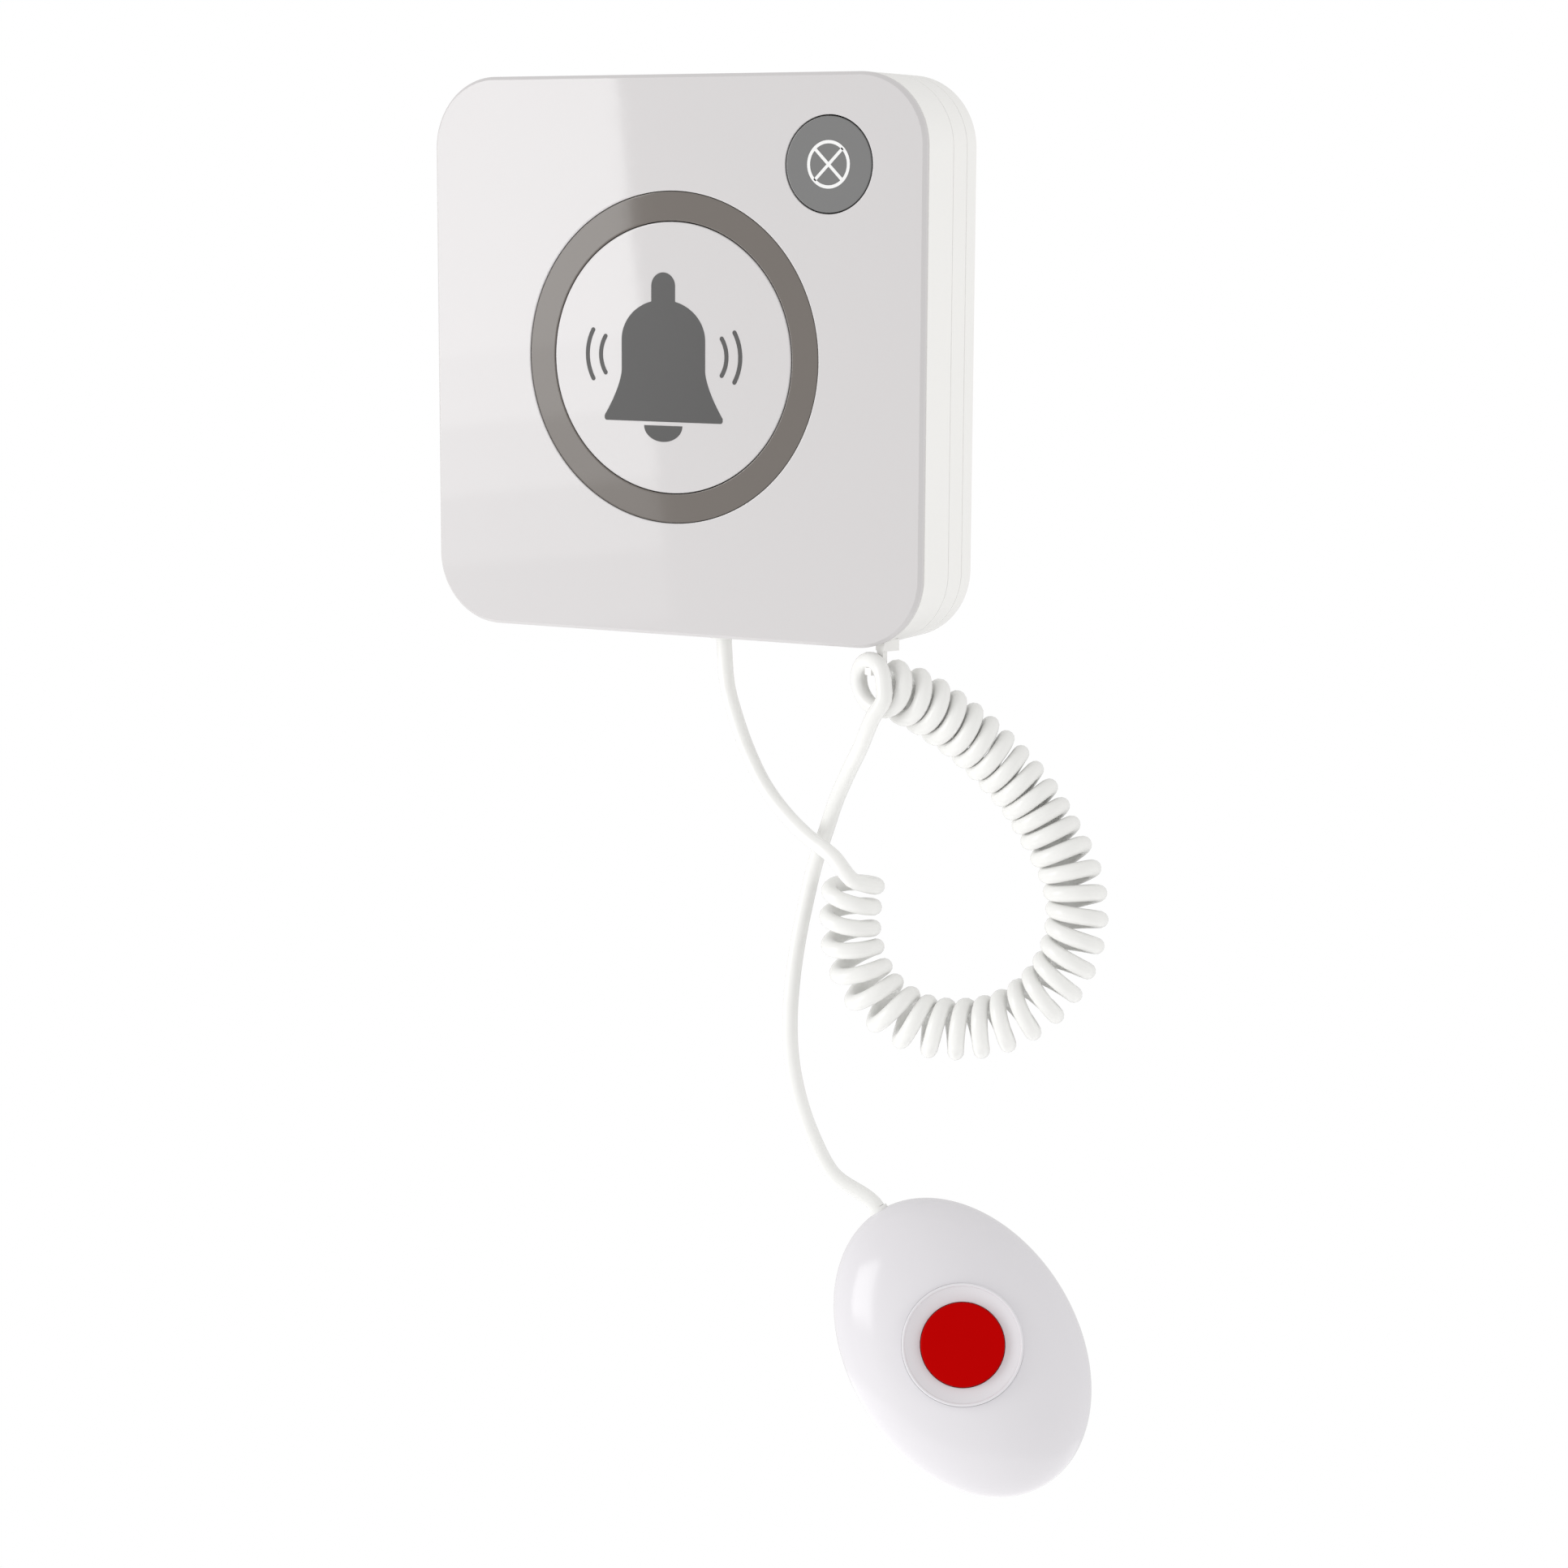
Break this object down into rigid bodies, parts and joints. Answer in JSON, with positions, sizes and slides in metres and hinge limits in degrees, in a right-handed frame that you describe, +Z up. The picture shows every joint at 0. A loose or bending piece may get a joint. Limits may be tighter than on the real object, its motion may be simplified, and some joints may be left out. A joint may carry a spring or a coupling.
{
  "type": "nurse call button",
  "caption": "Square wall call unit with a large round call button in a grey ring, a small cancel button, and a curly cord to an egg-shaped handset with a red push button.",
  "frame": {"origin": "centre of the wall plate's back face, on the wall", "axes": "+X to the unit's right seen from the room, +Y into the wall, +Z up"},
  "size_m": [0.114, 0.0321, 0.2155],
  "materials": {
    "case": "moulded, satin gloss",
    "facia": "polished",
    "ring": "smoked, polished",
    "print_grey": "printed",
    "print_white": "printed",
    "cancel": "polished",
    "tape": "adhesive tape",
    "cord": "extruded sheath, satin",
    "grommet": "soft moulded",
    "handset": "polished",
    "red_button": "polished",
    "board": "solder mask",
    "black_part": "moulded",
    "lamp": "phosphor",
    "tin": "tinned",
    "steel": "nickel plated"
  },
  "bodies": {
    "wall_mount": {"wall_plate": "case"},
    "unit": {"rear_case": "case", "front_cover": "case", "panel_tape": "tape", "front_panel": "facia", "light_ring": "ring", "call_switch": "black_part", "cancel_switch": "black_part", "main_board": "board", "board_parts": "black_part", "status_leds": "lamp", "buzzer": "black_part", "radio_module": "tin", "antenna": "tin", "battery": "steel", "battery_holder": "black_part", "battery_clip": "steel", "board_screws": "steel", "case_screws": "steel", "cord_grommet": "grommet", "inner_lead": "cord", "cord_plug": "case", "cord_socket": "case", "cord_hook": "case", "cord_upper": "cord", "cord_coil": "cord", "cord_lower": "cord", "handset_grommet": "grommet", "handset_lead": "cord", "handset_clamp": "case", "handset_front_shell": "handset", "handset_rear_shell": "handset", "handset_collar": "handset", "handset_switch": "black_part", "handset_board": "board", "handset_screws": "steel"},
    "call_push": {"call_button": "facia", "bell_mark": "print_grey", "call_plunger": "black_part"},
    "cancel_push": {"cancel_button": "cancel", "cancel_mark": "print_white", "cancel_plunger": "black_part"},
    "handset_push": {"handset_button": "red_button", "handset_plunger": "black_part"}
  },
  "joints": [
    {"name": "unit_lift", "type": "slide", "parent": "wall_mount", "child": "unit", "axis": [0, 0, 1], "range_m": [0, 0.0033]},
    {"name": "call_press", "type": "slide", "parent": "unit", "child": "call_push", "axis": [0, 1, 0], "range_m": [0, 0.001], "stiffness_N_per_m": 1500, "springref_m": -0.0005},
    {"name": "cancel_press", "type": "slide", "parent": "unit", "child": "cancel_push", "axis": [0, 1, 0], "range_m": [0, 0.0008], "stiffness_N_per_m": 1500, "springref_m": -0.0005},
    {"name": "handset_press", "type": "slide", "parent": "unit", "child": "handset_push", "axis": [-0.3971, 0.8517, -0.342], "range_m": [0, 0.0012], "stiffness_N_per_m": 1500, "springref_m": -0.0005}
  ]
}
